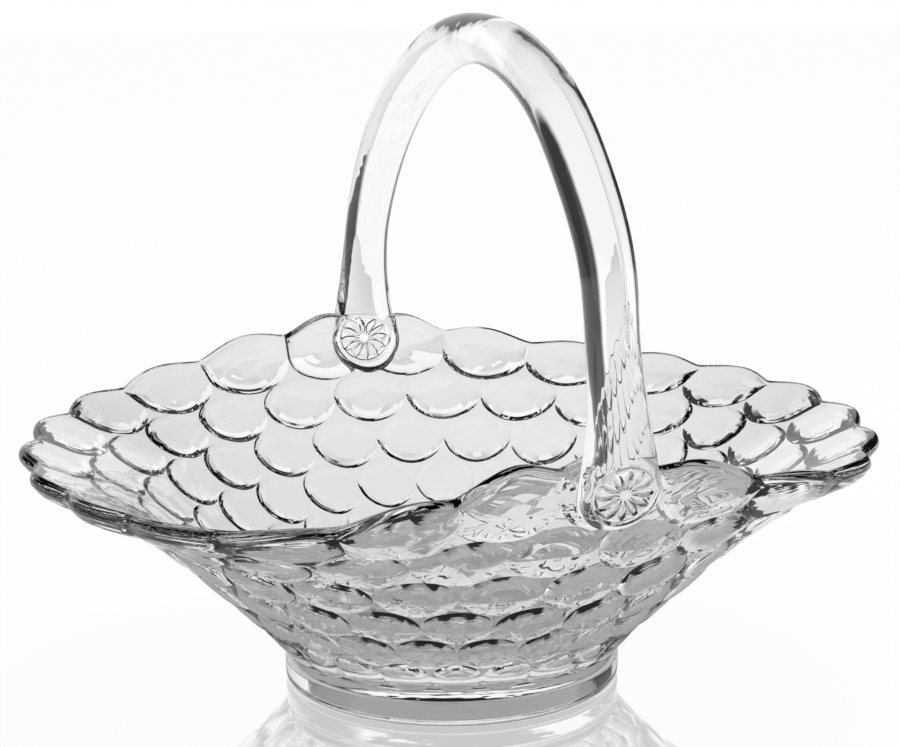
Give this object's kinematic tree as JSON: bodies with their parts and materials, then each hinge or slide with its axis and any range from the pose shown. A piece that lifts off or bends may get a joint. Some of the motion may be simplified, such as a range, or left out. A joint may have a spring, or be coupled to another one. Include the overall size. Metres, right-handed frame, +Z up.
{
  "type": "handled glass basket",
  "caption": "Footed glass basket: a flared, scalloped bowl covered outside in rows of round bosses, with a thick arched handle that ends in round pads with pressed rosettes.",
  "frame": {"origin": "on the table, under the middle of the round foot", "axes": "+Z up; the handle arches over the bowl along Y, -Y is the end that the picture shows nearer; +X to the right seen from -Y"},
  "size_m": [0.2798, 0.2482, 0.2192],
  "materials": {
    "clear_glass": "clear, fire polished"
  },
  "bodies": {
    "root": {"glass_basket": "clear_glass"}
  },
  "joints": []
}
